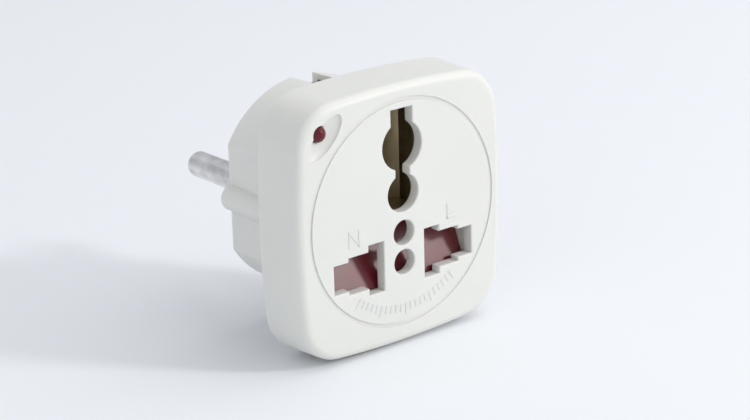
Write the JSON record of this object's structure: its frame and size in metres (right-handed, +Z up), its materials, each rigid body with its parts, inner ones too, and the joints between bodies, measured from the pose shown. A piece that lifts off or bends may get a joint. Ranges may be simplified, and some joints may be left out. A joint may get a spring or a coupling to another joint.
{
  "type": "universal travel adapter",
  "caption": "Square-faced travel adapter: universal shuttered socket on the front, round plug body with two round pins and recessed earth clips behind.",
  "frame": {"origin": "bottom centre of the overall box, under the middle of the object's depth", "axes": "+Z up, the socket face looks along -Y, the plug pins point along +Y, +X is to the right seen from the front"},
  "size_m": [0.0462, 0.0488, 0.0474],
  "materials": {
    "shell_plastic": "satin ivory moulded plastic",
    "inner_plastic": "plain moulded plastic",
    "shutter_plastic": "satin maroon moulded plastic",
    "spring_steel": "drawn wire",
    "pin_nickel": "nickel plate",
    "contact_brass": "rolled sheet, slightly tarnished",
    "rivet_brass": "peened",
    "led_red": "tinted translucent resin",
    "component_body": "lacquer",
    "diode_body": "moulded epoxy",
    "wire_jacket": "soft insulation",
    "screw_steel": "zinc plate"
  },
  "bodies": {
    "case": {"front_shell": "shell_plastic", "rear_shell": "shell_plastic", "contact_carrier": "inner_plastic", "shutter_spring_left": "spring_steel", "shutter_spring_right": "spring_steel", "plug_pin_neutral": "pin_nickel", "plug_pin_live": "pin_nickel", "contact_neutral": "contact_brass", "contact_live": "contact_brass", "earth_socket_contact": "contact_brass", "earth_bridge": "contact_brass", "earth_clip_top": "contact_brass", "earth_clip_bottom": "contact_brass", "earth_rivets": "rivet_brass", "indicator_led": "led_red", "series_resistor": "component_body", "protection_diode": "diode_body", "wire_live": "wire_jacket", "wire_neutral": "wire_jacket", "case_screws": "screw_steel"},
    "shutter": {"safety_shutter": "shutter_plastic"}
  },
  "joints": [
    {"name": "shutter_slide", "type": "slide", "parent": "case", "child": "shutter", "axis": [0, 0, -1], "range_m": [0, 0.0084], "stiffness_N_per_m": 60, "springref_m": -0.003, "deforming": ["shutter_spring_left", "shutter_spring_right"]}
  ]
}
